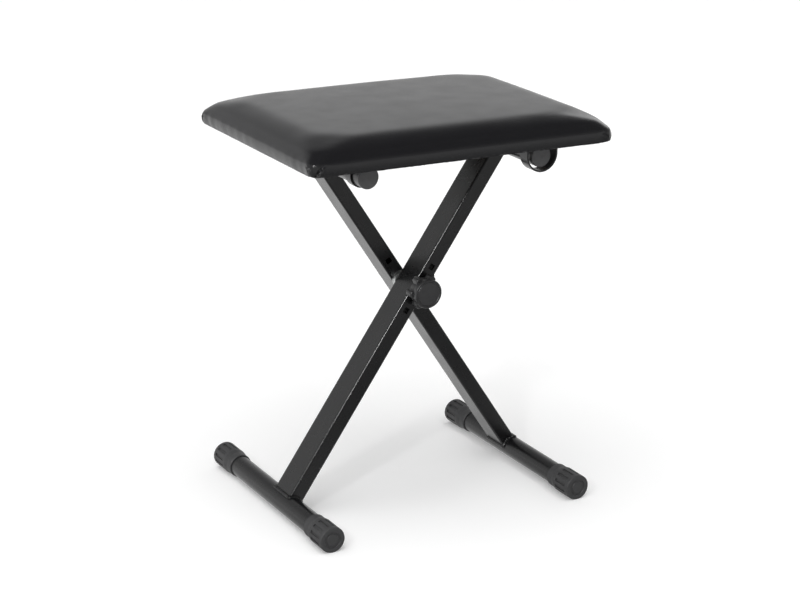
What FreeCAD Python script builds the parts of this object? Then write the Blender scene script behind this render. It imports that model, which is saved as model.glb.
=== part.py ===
import FreeCAD, Part
import math
import os
import Sketcher
from FreeCAD import Placement, Rotation, Vector

# Folding keyboard bench: a padded seat on two crossed legs that turn on one bolt.
# Millimetres. X runs along the seat's long side, Y along its short side and Z up.
# The origin is on the floor, under the middle of the bench, which stands at its full height.

SIZES = [
    ("seat_length", 390, "cushion along X"),
    ("seat_width", 290, "cushion along Y"),
    ("seat_top", 470, "height of the middle of the cushion"),
    ("seat_thick", 30, "cushion with its board"),
    ("cover_thick", 1, "vinyl"),
    ("hem_width", 25, "vinyl folded under the board"),
    ("board_thick", 12, "plywood"),
    ("board_inset", 4, "cushion edge to board edge"),
    ("roll_reach", 24, "top edge roll, measured inwards"),
    ("roll_rise", 21, "top edge roll, measured upwards"),
    ("side_draw", 1.6, "how far the sides pull in between the corners"),
    ("corner_low", 9, "corner radius at the lower edge"),
    ("corner_high", 26, "corner radius at the top of the roll"),
    ("channel_width", 31, "groove in the board over each rail"),
    ("channel_depth", 5, "its depth"),
    ("hem_rim", 5, "hem left whole outside each channel"),
    ("screw_length", 12, "wood screws of the rails"),
    ("screw_radius", 1.75, "their shanks"),
    ("screw_head", 3.5, "head radius, flush in the rail"),
    ("rail_length", 378, "slotted rail along X"),
    ("rail_width", 52, "slotted rail along Y"),
    ("rail_thick", 2, "steel strip"),
    ("rail_line", 106, "middle of the seat to the middle of a rail"),
    ("slot_step", 8, "rail middle to each slot"),
    ("slot_width", 6.4, "slot for the strap bolts"),
    ("leg_angle", 34.1, "each leg from the vertical, in degrees"),
    ("upper_arm", 199.6, "cross bolt to top tube axis"),
    ("lower_arm", 295.5, "cross bolt to foot tube axis"),
    ("foot_axis", 15, "foot tube axis above the floor"),
    ("leg_width", 19, "leg section across"),
    ("leg_depth", 38, "leg section along Y"),
    ("leg_wall", 1.2, "wall of the leg tube"),
    ("leg_corner", 2.2, "outer corner radius of the leg tube"),
    ("leg_gap", 6, "between the two legs"),
    ("hole_offset", 29.5, "cross bolt to each square hole"),
    ("hole_side", 7, "square hole"),
    ("tube_radius", 12.7, "round tubes"),
    ("tube_wall", 1.2, "wall of the round tubes"),
    ("foot_span", 290, "foot tube with its caps"),
    ("top_span", 240, "top tube with its plugs"),
    ("cap_length", 46, "rubber foot cap"),
    ("cap_collar", 14.3, "collar radius of the foot cap"),
    ("cap_rim", 15.5, "rim and rib radius of the foot cap"),
    ("cap_ribs", 12, "ribs round the foot cap"),
    ("cap_end_wall", 4, "closed end of the foot cap"),
    ("plug_head", 2.4, "top plug outside the tube"),
    ("running_gap", 0.3, "between curved faces that turn on each other"),
    ("left_strap_width", 12, "tight strap along Y"),
    ("left_strap_thick", 1.5, "tight strap"),
    ("right_strap_width", 15, "wide strap along Y"),
    ("right_strap_thick", 2, "wide strap"),
    ("right_strap_radius", 18.6, "inside radius of the wide strap"),
    ("right_strap_raise", 2.6, "its bend centre above the tube axis"),
    ("strap_bolt_radius", 2.5, "bolt shank"),
    ("bolt_radius", 4, "cross bolt shank"),
    ("bush_radius", 7, "bush welded through each leg"),
    ("clutch_radius", 11, "toothed disc"),
    ("clutch_base", 1.6, "disc under its teeth"),
    ("tooth_height", 1.1, "radial tooth"),
    ("clutch_teeth", 32, "teeth round the disc"),
    ("plate_length", 47, "plate under the knob"),
    ("plate_thick", 1.5, "plate under the knob"),
    ("knob_reach", 23.5, "leg face to the front of the knob"),
    ("knob_cap_radius", 17.5, "round front of the knob"),
    ("lobe_radius", 4.6, "each grip lobe"),
    ("lobe_centre", 16.6, "knob axis to the middle of a lobe"),
    ("knob_lobes", 6, "grip lobes"),
    ("knob_rim", 3.2, "raised rim round the knob's face"),
    ("knob_sink", 1.2, "face below the rim"),
    ("knob_cover", 1.6, "stem of the disc in the knob's face"),
    ("insert_radius", 6, "brass insert"),
    ("washer_radius", 9, "flat washers on the cross bolt"),
    ("washer_thick", 1.6, "flat washers on the cross bolt"),
]

doc = FreeCAD.newDocument("keyboard_bench")
sheet = doc.addObject("Spreadsheet::Sheet", "Sizes")
parts = []


def fill_sheet():
    """Put every driving size in the sheet, one row each."""
    for row, (alias, value, note) in enumerate(SIZES, 1):
        sheet.set("A%d" % row, alias)
        sheet.set("B%d" % row, str(value))
        sheet.set("C%d" % row, note)
        sheet.setAlias("B%d" % row, alias)
    doc.recompute()


class Size:
    """A length worked out from the sheet, with the expression that says how."""

    def __init__(self, value, text):
        self.value = float(value)
        self.text = text

    def __add__(self, other):
        return Size(self.value + number(other), "(%s + %s)" % (self.text, words(other)))

    def __sub__(self, other):
        return Size(self.value - number(other), "(%s - %s)" % (self.text, words(other)))

    def __mul__(self, other):
        return Size(self.value * number(other), "(%s * %s)" % (self.text, words(other)))

    def __truediv__(self, other):
        return Size(self.value / number(other), "(%s / %s)" % (self.text, words(other)))

    def __neg__(self):
        return Size(-self.value, "(0 - %s)" % self.text)


def number(value):
    """The plain number behind a Size or a number."""
    return value.value if isinstance(value, Size) else float(value)


def words(value):
    """The expression behind a Size or a number."""
    return value.text if isinstance(value, Size) else repr(float(value))


def size(alias):
    """A Size that reads one cell of the sheet."""
    return Size(sheet.get(alias), "Sizes." + alias)


def plain(value):
    """A Size that stands by itself."""
    return Size(value, repr(float(value)))


def bind(thing, name, value):
    """Set a property, by expression where the value comes from the sheet."""
    if isinstance(value, Size):
        thing.setExpression(name, value.text)
    else:
        setattr(thing, name, value)


def new_body(label):
    """A PartDesign body that becomes one sub-part."""
    body = doc.addObject("PartDesign::Body", label)
    body.Label = label
    parts.append(body)
    return body


def origin_feature(body, role):
    """One of the body's own origin planes or axes."""
    return [item for item in body.Origin.OriginFeatures if item.Role == role][0]


def new_sketch(body, plane, lift):
    """An empty sketch on an origin plane, moved along the plane's normal."""
    sketch = body.newObject("Sketcher::SketchObject", body.Label + "_sketch")
    sketch.AttachmentSupport = [(origin_feature(body, plane), "")]
    sketch.MapMode = "FlatFace"
    sketch.AttachmentOffset = Placement(Vector(0, 0, number(lift)), Rotation())
    if isinstance(lift, Size):
        sketch.setExpression("AttachmentOffset.Base.z", lift.text)
    return sketch


def dimension(sketch, kind, geometry, point, value):
    """Dimension a point from the sketch's origin."""
    index = sketch.addConstraint(Sketcher.Constraint(kind, -1, 1, geometry, point, number(value)))
    if isinstance(value, Size):
        sketch.setExpression("Constraints[%d]" % index, value.text)


def bulge_point(start, end, radius):
    """The middle of an arc from start to end; a positive radius bulges to the right of the way."""
    chord = end - start
    half = chord.Length / 2
    rise = abs(radius) - math.sqrt(max(radius * radius - half * half, 0))
    side = Vector(chord.y, -chord.x, 0).normalize() * math.copysign(rise, radius)
    return (start + end) / 2 + side


def outline(body, plane, corners, arcs=None, lift=0):
    """A closed sketch through corners given anticlockwise.

    arcs gives the radius of a side by its number; a negative radius bends into the outline.
    """
    arcs = arcs or {}
    sketch = new_sketch(body, plane, lift)
    spots = [Vector(number(across), number(up), 0) for across, up in corners]
    starts, ends = [], []
    for side, start in enumerate(spots):
        end = spots[(side + 1) % len(spots)]
        if side in arcs:
            middle = bulge_point(start, end, number(arcs[side]))
            sketch.addGeometry(Part.Arc(start, middle, end))
        else:
            sketch.addGeometry(Part.LineSegment(start, end))
        inward = side in arcs and number(arcs[side]) < 0
        starts.append(2 if inward else 1)
        ends.append(1 if inward else 2)
    for side, (across, up) in enumerate(corners):
        after = (side + 1) % len(spots)
        sketch.addConstraint(Sketcher.Constraint("Coincident", side, ends[side], after, starts[after]))
        dimension(sketch, "DistanceX", side, starts[side], across)
        dimension(sketch, "DistanceY", side, starts[side], up)
    for side, radius in arcs.items():
        radius = -radius if number(radius) < 0 else radius
        index = sketch.addConstraint(Sketcher.Constraint("Radius", side, number(radius)))
        if isinstance(radius, Size):
            sketch.setExpression("Constraints[%d]" % index, radius.text)
    return sketch


def rectangle(body, plane, width, height, middle=(0, 0), lift=0):
    """A rectangle round a middle point."""
    half_width, half_height = width / 2, height / 2
    low = (neg(half_width) + middle[0], neg(half_height) + middle[1])
    high = (half_width + middle[0], half_height + middle[1])
    corners = [low, (high[0], low[1]), high, (low[0], high[1])]
    return outline(body, plane, corners, lift=lift)


def neg(value):
    """Minus a Size or a number."""
    return -value


def circles(body, plane, rounds, lift=0):
    """A sketch of circles, each given as radius, across and up."""
    sketch = new_sketch(body, plane, lift)
    for radius, across, up in rounds:
        centre = Vector(number(across), number(up), 0)
        index = sketch.addGeometry(Part.Circle(centre, Vector(0, 0, 1), number(radius)))
        rule = sketch.addConstraint(Sketcher.Constraint("Radius", index, number(radius)))
        if isinstance(radius, Size):
            sketch.setExpression("Constraints[%d]" % rule, radius.text)
        dimension(sketch, "DistanceX", index, 3, across)
        dimension(sketch, "DistanceY", index, 3, up)
    return sketch


def pad(body, sketch, length, both_ways=False):
    """Pad a sketch along its normal, or half each way."""
    feature = body.newObject("PartDesign::Pad", body.Label + "_pad")
    feature.Profile = sketch
    feature.SideType = "Symmetric" if both_ways else "One side"
    bind(feature, "Length", length)
    doc.recompute()
    return feature


def pocket(body, sketch, depth=None, both_ways=True, back=False):
    """Cut a sketch out of a body, right through where no depth is given."""
    before = body.Shape.Volume
    feature = body.newObject("PartDesign::Pocket", body.Label + "_pocket")
    feature.Profile = sketch
    feature.SideType = "Symmetric" if both_ways else "One side"
    feature.Reversed = back
    if depth is None:
        feature.Type = "ThroughAll"
    else:
        bind(feature, "Length", depth)
    doc.recompute()
    if not feature.Shape.Volume < before - 0.01:
        raise ValueError(body.Label + ": a pocket cuts nothing")
    return feature


def turned(body, corners, arcs=None):
    """Turn an outline of radius and height round the body's Z axis."""
    feature = body.newObject("PartDesign::Revolution", body.Label + "_turned")
    feature.Profile = outline(body, "XZ_Plane", corners, arcs)
    feature.ReferenceAxis = (origin_feature(body, "Z_Axis"), [""])
    feature.Angle = 360
    doc.recompute()
    return feature


def ring_of(body, feature, count):
    """Repeat a feature round the body's Z axis."""
    pattern = body.newObject("PartDesign::PolarPattern", body.Label + "_ring")
    pattern.Originals = [feature]
    pattern.Axis = (origin_feature(body, "Z_Axis"), [""])
    pattern.Angle = 360
    bind(pattern, "Occurrences", count)
    body.Tip = pattern
    doc.recompute()
    return pattern


def round_edges(body, radius, wanted):
    """Fillet the edges of the body's last feature that wanted() picks."""
    base = body.Tip
    picked = ["Edge%d" % number for number, edge in enumerate(base.Shape.Edges, 1) if wanted(edge)]
    fillet = body.newObject("PartDesign::Fillet", body.Label + "_fillet")
    fillet.Base = (base, picked)
    bind(fillet, "Radius", radius)
    doc.recompute()
    return fillet


def countersink(body, hole_radius, depth):
    """Widen the lower ends of a body's round holes of one radius into cones."""
    base = body.Tip
    low = base.Shape.BoundBox.ZMin
    picked = []
    for name, edge in enumerate(base.Shape.Edges, 1):
        if isinstance(edge.Curve, Part.Circle) and abs(edge.Curve.Radius - hole_radius) < 0.01:
            if edge.BoundBox.ZMax < low + 0.01:
                picked.append("Edge%d" % name)
    cone = body.newObject("PartDesign::Chamfer", body.Label + "_countersink")
    cone.Base = (base, picked)
    cone.Size = depth
    doc.recompute()
    return cone


def along_z(edge):
    """True for a straight edge that runs along Z."""
    ends = edge.Vertexes
    if len(ends) != 2 or not isinstance(edge.Curve, Part.Line):
        return False
    return abs(ends[0].Z - ends[1].Z) > 0.9 * edge.Length


def group(label, single, places):
    """Identical pieces as one sub-part of separate solids."""
    copies = []
    for place in places:
        copy = single.copy()
        copy.Placement = place
        copies.append(copy)
    feature = doc.addObject("Part::Feature", label)
    feature.Label = label
    feature.Shape = Part.makeCompound(copies)
    parts.append(feature)
    return feature


fill_sheet()

# Places that follow from the driving sizes
LEAN = math.radians(number(size("leg_angle")))
FOOT_Z = number(size("foot_axis"))
PIVOT_Z = FOOT_Z + number(size("lower_arm")) * math.cos(LEAN)
TOP_Z = PIVOT_Z + number(size("upper_arm")) * math.cos(LEAN)
TOP_X = number(size("upper_arm")) * math.sin(LEAN)
FOOT_X = number(size("lower_arm")) * math.sin(LEAN)
SEAT_BOTTOM = number(size("seat_top") - size("seat_thick"))
BOARD_BOTTOM = SEAT_BOTTOM + number(size("cover_thick"))
RAIL_BOTTOM = SEAT_BOTTOM - number(size("rail_thick"))
LEG_MIDDLE = number(size("leg_gap") + size("leg_depth")) / 2
LEG_FACE = LEG_MIDDLE + number(size("leg_depth")) / 2
INNER_LINE = number(size("rail_line") - size("slot_step"))
OUTER_LINE = number(size("rail_line") + size("slot_step"))
BOARD_CORNER = 7
STAPLE_WIDE = 10
NUT_THICK = 3
NUT_LIFT = 0.5  # slide nut above the under face of the board

FRONTWARD = Rotation(Vector(1, 0, 0), 90)
REARWARD = Rotation(Vector(0, 0, 1), 180) * FRONTWARD
CROSSWISE = Rotation(Vector(1, 0, 0), -90)


def leg_tube(label, middle_y, tilt):
    """Rectangular leg, coped at both ends to sit on the round tubes."""
    body = new_body(label)
    width, depth, wall = size("leg_width"), size("leg_depth"), size("leg_wall")
    upper, lower = size("upper_arm"), size("lower_arm")
    bar = rectangle(body, "XY_Plane", width, depth, lift=-lower)
    pad(body, bar, upper + lower)
    round_edges(body, size("leg_corner"), along_z)
    hollow = rectangle(body, "XY_Plane", width - wall * 2, depth - wall * 2, lift=-lower)
    pocket(body, hollow, upper + lower, both_ways=False, back=True)
    radius = size("tube_radius")
    pocket(body, circles(body, "XZ_Plane", [(radius, 0, upper), (radius, 0, -lower)]))
    pocket(body, circles(body, "XZ_Plane", [(size("bush_radius"), 0, 0)]))
    side, offset = size("hole_side"), size("hole_offset")
    for up in (offset, -offset):
        pocket(body, rectangle(body, "XZ_Plane", side, side, (0, up)))
    body.Placement = Placement(Vector(0, middle_y, PIVOT_Z), Rotation(Vector(0, 1, 0), tilt))
    return body


def pivot_bush(label, middle_y):
    """Short tube through a leg, which the cross bolt runs in."""
    body = new_body(label)
    bore = size("bolt_radius") + 0.1
    rounds = [(size("bush_radius"), 0, 0), (bore, 0, 0)]
    pad(body, circles(body, "XY_Plane", rounds), size("leg_depth"), both_ways=True)
    body.Placement = Placement(Vector(0, middle_y, PIVOT_Z), CROSSWISE)
    return body


def clutch_disc(label, back_y, turn):
    """Disc with radial teeth on one face, cut as a ring of V grooves."""
    body = new_body(label)
    outer, base, tooth = size("clutch_radius"), size("clutch_base"), size("tooth_height")
    bore = size("bolt_radius") + 0.2
    pad(body, circles(body, "XY_Plane", [(outer, 0, 0), (bore, 0, 0)]), base + tooth)
    boss = outer * 0.58
    groove_half, groove_inner = 0.52, boss
    corners = [(0, base), (groove_half, base + tooth + 0.2), (-groove_half, base + tooth + 0.2)]
    groove = outline(body, "YZ_Plane", corners, lift=groove_inner)
    cut = pocket(body, groove, outer, both_ways=False, back=True)
    ring_of(body, cut, size("clutch_teeth"))
    body.Placement = Placement(Vector(0, back_y, PIVOT_Z), turn)
    return body


def round_tube(label, length, place):
    """Plain round tube, square at both ends."""
    body = new_body(label)
    outer = size("tube_radius")
    rounds = [(outer, 0, 0), (outer - size("tube_wall"), 0, 0)]
    pad(body, circles(body, "XY_Plane", rounds), length, both_ways=True)
    body.Placement = Placement(place, CROSSWISE)
    return body


def top_plug(label, place, turn):
    """Plastic plug: a low domed head on the tube's rim and a hollow shank inside it."""
    body = new_body(label)
    rim = size("tube_radius")
    shank = rim - size("tube_wall") - 0.1
    edge, reach, skin, lead, floor, bend = 1.2, 14, 1.6, 2, 0.4, 1.2
    shoulder = size("plug_head") - floor
    corners = [
        (0, floor), (shank - skin, floor), (shank - skin, -reach), (shank - floor, -reach),
        (shank, lead - reach), (shank, 0), (rim, 0), (rim, edge), (rim - 1, shoulder),
        (0, size("plug_head")),
    ]
    turned(body, corners, {7: bend})
    body.Placement = Placement(place, turn)
    return body


def foot_cap(label, place, turn):
    """Rubber cap: plain collar, flared drum with ribs, ringed end, and a flat where it stands."""
    body = new_body(label)
    length, collar, rim = size("cap_length"), size("cap_collar"), size("cap_rim")
    bore = size("tube_radius")
    floor = collar - 0.1
    lip, edge, flare_start, flare_end, window_start = 0.8, 1.5, 10, 16, 20
    window_end = length - 6
    groove_out, groove_in, groove_deep, bevel = 10.2, 6.8, 1.2, 0.6
    boss_top, groove_floor = length - 0.2, length - groove_deep
    inside = length - size("cap_end_wall")
    corners = [
        (bore, 0), (collar - lip, 0), (collar, lip), (collar, flare_start), (rim, flare_end),
        (rim, window_start), (floor, window_start), (floor, window_end), (rim, window_end),
        (rim, length - edge), (rim - edge, length), (groove_out, length),
        (groove_out - bevel, groove_floor), (groove_in + bevel, groove_floor),
        (groove_in, boss_top), (0, boss_top), (0, inside), (bore, inside),
    ]
    turned(body, corners, {9: edge})
    half, sunk = 2.3, 0.6
    root = floor - sunk
    top = Size(math.sqrt(rim.value ** 2 - half ** 2), "sqrt(%s ^ 2 - %s ^ 2)" % (rim.text, half))
    rib = outline(body, "XY_Plane", [(-half, -top), (half, -top), (half, -root), (-half, -root)],
                  {0: rim}, lift=window_start - sunk / 2)
    ribs = pad(body, rib, window_end - window_start + sunk)
    ring_of(body, ribs, size("cap_ribs"))
    stand = size("foot_axis")
    cut_wide, cut_high = plain(20), plain(8)
    below = rectangle(body, "XY_Plane", cut_wide, cut_high, (0, -stand - cut_high / 2))
    pocket(body, below, length * 3)
    body.Placement = Placement(place, turn)
    return body


def strap(label, inner, thick, wide, raise_by, foot, hole, place):
    """Steel strip bent into a U round a top tube, with two flanges under a rail."""
    body = new_body(label)
    outer = inner + thick
    drop = plain(RAIL_BOTTOM - TOP_Z) - raise_by
    corners = [
        (-foot, 0), (-foot, -thick), (-outer, -thick), (-outer, -drop), (0, -drop - outer),
        (outer, -drop), (outer, -thick), (foot, -thick), (foot, 0), (inner, 0),
        (inner, -drop), (0, -drop - inner), (-inner, -drop), (-inner, 0),
    ]
    arcs = {3: outer, 4: outer, 10: -inner, 11: -inner}
    pad(body, outline(body, "XZ_Plane", corners, arcs), wide, both_ways=True)
    bore = size("strap_bolt_radius") + 0.1
    holes = circles(body, "XY_Plane", [(bore, hole, 0), (bore, -hole, 0)])
    pocket(body, holes, thick * 4)
    body.Placement = Placement(place, Rotation())
    return body


def strap_bolt(thick):
    """Hexagon bolt under a flange, its shank up through the slot into the slide nut."""
    corner, head_high = 4.4, 3
    spots = []
    for side in range(7):
        swing = math.radians(60 * side)
        spots.append(Vector(corner * math.cos(swing), corner * math.sin(swing), 0))
    head = Part.Face(Part.makePolygon(spots)).extrude(Vector(0, 0, -head_high))
    rise = BOARD_BOTTOM + NUT_LIFT + NUT_THICK + 0.5 - RAIL_BOTTOM + thick
    shank = Part.makeCylinder(number(size("strap_bolt_radius")), rise)
    return head.fuse(shank).removeSplitter()


def slide_nut():
    """Square nut that slides in the board's channel, above the rail."""
    side = 12
    block = Part.makeBox(side, side, NUT_THICK, Vector(-side / 2, -side / 2, 0))
    return block.cut(Part.makeCylinder(number(size("strap_bolt_radius")), NUT_THICK))


def bolt_places(middle_x, line, hole, height):
    """The four bolt places of one side's two straps."""
    spots = []
    for side in (-1, 1):
        for across in (-hole, hole):
            spots.append(Placement(Vector(middle_x + across, side * line, height), Rotation()))
    return spots


def strap_set(side, middle_x, line, inner, thick, wide, raise_by):
    """Both straps of one side of the bench with their bolts and slide nuts."""
    outer = inner + thick
    hole_reach, edge_reach = 4.6, 5.2
    hole = outer + hole_reach
    foot = hole + edge_reach
    for end, place_y in (("front", -line), ("rear", line)):
        place = Vector(middle_x, place_y, RAIL_BOTTOM)
        strap("%s_strap_%s" % (side, end), inner, thick, wide, raise_by, foot, hole, place)
    flange = RAIL_BOTTOM - number(thick)
    places = bolt_places(middle_x, line, number(hole), flange)
    group(side + "_strap_bolts", strap_bolt(number(thick)), places)
    above = bolt_places(middle_x, line, number(hole), BOARD_BOTTOM + NUT_LIFT)
    group(side + "_slide_nuts", slide_nut(), above)


def weld_bead():
    """Bead round the foot of a leg, on a tube that runs along Y through the origin."""
    radius, depth = number(size("tube_radius")), number(size("leg_depth"))
    half = number(size("leg_width")) / 2
    bead = 1.9
    rise = math.sqrt(radius ** 2 - half ** 2)
    swing = math.degrees(math.asin(half / radius))
    pieces = []
    for side in (-1, 1):
        line = Part.makeCylinder(bead, depth, Vector(side * half, -depth / 2, rise), Vector(0, 1, 0))
        start = Vector(-half, side * depth / 2, rise)
        section = Part.Face(Part.Wire(Part.Circle(start, Vector(rise, 0, half), bead).toShape()))
        ring = section.revolve(Vector(0, 0, 0), Vector(0, 1, 0), 2 * swing)
        pieces += [line, ring]
        for end in (-1, 1):
            pieces.append(Part.makeSphere(bead, Vector(side * half, end * depth / 2, rise)))
    whole = pieces[0].fuse(pieces[1:])
    leg = Part.makeBox(2 * half, depth, 2 * depth, Vector(-half, -depth / 2, 0))
    tube = Part.makeCylinder(radius, 3 * depth, Vector(0, -1.5 * depth, 0), Vector(0, 1, 0))
    return whole.cut(leg).cut(tube)


def leg_welds(label, middle_y, tilt):
    """The beads at both ends of one leg."""
    lean = math.radians(tilt)
    along = Vector(math.sin(lean), 0, math.cos(lean))
    pivot = Vector(0, middle_y, PIVOT_Z)
    turn = Rotation(Vector(0, 1, 0), tilt)
    low = Placement(pivot - along * number(size("lower_arm")), turn)
    flip = turn * Rotation(Vector(0, 1, 0), 180)
    high = Placement(pivot + along * number(size("upper_arm")), flip)
    group(label, weld_bead(), [low, high])


def leg_set(name, middle_y, tilt, foot_side, top_side):
    """One leg with its foot tube, top tube, caps, plugs, bush and welds."""
    leg_tube(name + "_leg_tube", middle_y, tilt)
    pivot_bush(name + "_pivot_bush", middle_y)
    leg_welds(name + "_leg_welds", middle_y, tilt)
    foot_x = FOOT_X if foot_side == "right" else -FOOT_X
    top_x = TOP_X if top_side == "right" else -TOP_X
    span, wall = size("foot_span"), size("cap_end_wall")
    round_tube(foot_side + "_foot_tube", span - wall * 2, Vector(foot_x, 0, FOOT_Z))
    head = size("plug_head")
    round_tube(top_side + "_top_tube", size("top_span") - head * 2, Vector(top_x, 0, TOP_Z))
    cap_y = number(span) / 2 - number(size("cap_length"))
    plug_y = number(size("top_span") / 2 - head)
    for end, sign, turn in (("front", -1, FRONTWARD), ("rear", 1, REARWARD)):
        foot_cap("%s_foot_cap_%s" % (foot_side, end), Vector(foot_x, sign * cap_y, FOOT_Z), turn)
        top_plug("%s_top_plug_%s" % (top_side, end), Vector(top_x, sign * plug_y, TOP_Z), turn)


def slide_rail(label, middle_y, outwards):
    """Flat steel rail with two offset slots and six screw holes."""
    body = new_body(label)
    length, width, thick = size("rail_length"), size("rail_width"), size("rail_thick")
    pad(body, rectangle(body, "XY_Plane", length, width), thick)
    corner, end_web, left_stop, right_stop = 5, 2.4, plain(-18), plain(-26)
    round_edges(body, corner, along_z)
    half = size("slot_width") / 2
    end = length / 2 - end_web
    for start, stop, line in ((-end, left_stop, -outwards), (right_stop, end, outwards)):
        middle = size("slot_step") * line
        low, high = middle - half, middle + half
        corners = [(start + half, low), (stop - half, low), (stop, middle), (stop - half, high),
                   (start + half, high), (start, middle)]
        arcs = {1: half, 2: half, 4: half, 5: half}
        pocket(body, outline(body, "XY_Plane", corners, arcs), thick * 4)
    bore, cone = 2.1, 1.6
    rounds = [(bore, across, up) for across, up in screw_spots(0)]
    pocket(body, circles(body, "XY_Plane", rounds), thick * 4)
    countersink(body, bore, cone)
    body.Placement = Placement(Vector(0, middle_y, RAIL_BOTTOM), Rotation())
    return body


def screw_spots(middle_y):
    """Screw places of one rail."""
    from_side, from_end = 4.6, 9
    side = number(size("rail_width")) / 2 - from_side
    reach = number(size("rail_length")) / 2 - from_end
    return [(across, middle_y + up) for up in (-side, side) for across in (-reach, 0, reach)]


def rail_screws():
    """Countersunk wood screws through both rails into the board."""
    shank, head = number(size("screw_radius")), number(size("screw_head"))
    cone = Part.makeCone(head, shank, head - shank)
    drive = Part.makeCylinder(1, 1.2)
    screw = cone.fuse(Part.makeCylinder(shank, number(size("screw_length")))).cut(drive)
    places = []
    for line in (-number(size("rail_line")), number(size("rail_line"))):
        for across, along in screw_spots(line):
            places.append(Placement(Vector(across, along, RAIL_BOTTOM), Rotation()))
    group("rail_screws", screw, places)


def seat_board():
    """Plywood board with a channel over each rail and pilot holes for the screws."""
    body = new_body("seat_board")
    inset = size("board_inset") * 2
    length, width = size("seat_length") - inset, size("seat_width") - inset
    pad(body, rectangle(body, "XY_Plane", length, width), size("board_thick"))
    round_edges(body, BOARD_CORNER, along_z)
    for side in (-1, 1):
        middle = size("rail_line") * side
        channel = rectangle(body, "XY_Plane", length, size("channel_width"), (0, middle))
        pocket(body, channel, size("channel_depth"), both_ways=False, back=True)
    reach = size("screw_length") - size("rail_thick") - size("cover_thick")
    shank, line = size("screw_radius"), number(size("rail_line"))
    pilots = [(shank, across, up) for side in (-line, line) for across, up in screw_spots(side)]
    pocket(body, circles(body, "XY_Plane", pilots), reach, both_ways=False, back=True)
    body.Placement = Placement(Vector(0, 0, BOARD_BOTTOM), Rotation())
    return body


def cushion_ring(length, width, corner, draw, height):
    """Seat outline at one height: four long sides that pull in, joined by round corners."""
    half_x, half_y = length / 2, width / 2
    edges = []
    for quarter, (across, deep) in enumerate(((half_x, half_y), (half_y, half_x)) * 2):
        turn = Rotation(Vector(0, 0, 1), 90 * quarter)
        side = [Vector(corner - across, -deep, height), Vector(0, draw - deep, height),
                Vector(across - corner, -deep, height)]
        bend = Vector(across - corner, corner - deep, height)
        reach = corner * math.sqrt(0.5)
        middle = bend + Vector(reach, -reach, 0)
        end = Vector(across, corner - deep, height)
        edges.append(Part.Arc(*[turn.multVec(spot) for spot in side]).toShape())
        edges.append(Part.Arc(*[turn.multVec(spot) for spot in (side[2], middle, end)]).toShape())
    return Part.Wire(edges)


def cushion(shrink, bottom):
    """Crowned cushion block, smaller all round by shrink, from the height bottom up."""
    length, width = number(size("seat_length")), number(size("seat_width"))
    reach, rise = number(size("roll_reach")), number(size("roll_rise"))
    low, high = number(size("corner_low")), number(size("corner_high"))
    draw = number(size("side_draw"))
    top = number(size("seat_top")) - shrink
    crown, steps = 1.6, 4
    roll_start = top - crown - rise
    rings = [(0, bottom, 0)]
    for step in range(steps + 1):
        share = step / steps
        swing = math.radians(90 * share)
        rings.append((reach * (1 - math.cos(swing)), roll_start + rise * math.sin(swing), share))
    rings += [(reach + 34, top - crown / 4, 1), (reach + 80, top, 1)]
    wires = []
    for inset, height, share in rings:
        corner = low + (high - low) * share
        both = 2 * (inset + shrink)
        bow = draw * (1 - 0.9 * share)
        wires.append(cushion_ring(length - both, width - both, corner, bow, height))
    return Part.makeLoft(wires, True, True)


def set_shape(label, shape):
    """A sub-part whose shape is worked out directly."""
    feature = doc.addObject("Part::Feature", label)
    feature.Label = label
    feature.Shape = shape
    parts.append(feature)
    return feature


def middle_box(length, width, height, middle):
    """A box with the middle of its under face at a place."""
    return Part.makeBox(length, width, height, middle - Vector(length / 2, width / 2, 0))


def seat_cushion():
    """Foam block over the board, and the vinyl cover that wraps it and folds under."""
    inset, skin, hem = number(size("board_inset")), number(size("cover_thick")), number(size("hem_width"))
    length, width = number(size("seat_length")), number(size("seat_width"))
    inside = cushion(skin, BOARD_BOTTOM)
    block = middle_box(length - 2 * inset, width - 2 * inset, number(size("board_thick")),
                       Vector(0, 0, BOARD_BOTTOM))
    block = block.makeFillet(BOARD_CORNER, [edge for edge in block.Edges if along_z(edge)])
    set_shape("seat_foam", inside.cut(block))
    below = Vector(0, 0, SEAT_BOTTOM - skin / 2)
    cover = cushion(0, SEAT_BOTTOM).cut(inside)
    cover = cover.cut(middle_box(length - 2 * hem, width - 2 * hem, 2 * skin, below))
    rim = number(size("hem_rim"))
    for line in (-number(size("rail_line")), number(size("rail_line"))):
        notch = middle_box(length - 2 * rim, number(size("channel_width")), 2 * skin,
                           below + Vector(0, line, 0))
        cover = cover.cut(notch)
    set_shape("seat_cover", cover)


def staple_row(count, span, offset, turn):
    """Places of the staples along one edge of the hem, clear of the rails."""
    places = []
    spin = Rotation(Vector(0, 0, 1), turn)
    beside_rail, past_rail = 70, 134
    rail_end = number(size("rail_length")) / 2 - STAPLE_WIDE
    for index in range(count):
        across = span * (index / (count - 1) - 0.5)
        spot = spin.multVec(Vector(across, -offset, 0))
        if abs(spot.x) > rail_end and beside_rail < abs(spot.y) < past_rail:
            continue
        places.append(Placement(spot + Vector(0, 0, SEAT_BOTTOM), spin))
    return places


def cover_staples():
    """Wire staples that hold the hem of the cover to the board."""
    wide, wire, band, prong = STAPLE_WIDE, 0.7, 1.2, 5
    bridge = Part.makeBox(wide, band, wire, Vector(-wide / 2, -band / 2, -wire))
    legs = [Part.makeBox(wire, band, prong, Vector(across, -band / 2, 0))
            for across in (-wide / 2, wide / 2 - wire)]
    staple = bridge.fuse(legs).removeSplitter()
    from_edge = 8.5
    long_row, short_row = (10, 340), (9, 230)
    places = []
    for turn, (count, span), across in ((0, long_row, "seat_width"), (180, long_row, "seat_width"),
                                        (90, short_row, "seat_length"), (270, short_row, "seat_length")):
        places += staple_row(count, span, number(size(across)) / 2 - from_edge, turn)
    group("cover_staples", staple, places)


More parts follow.
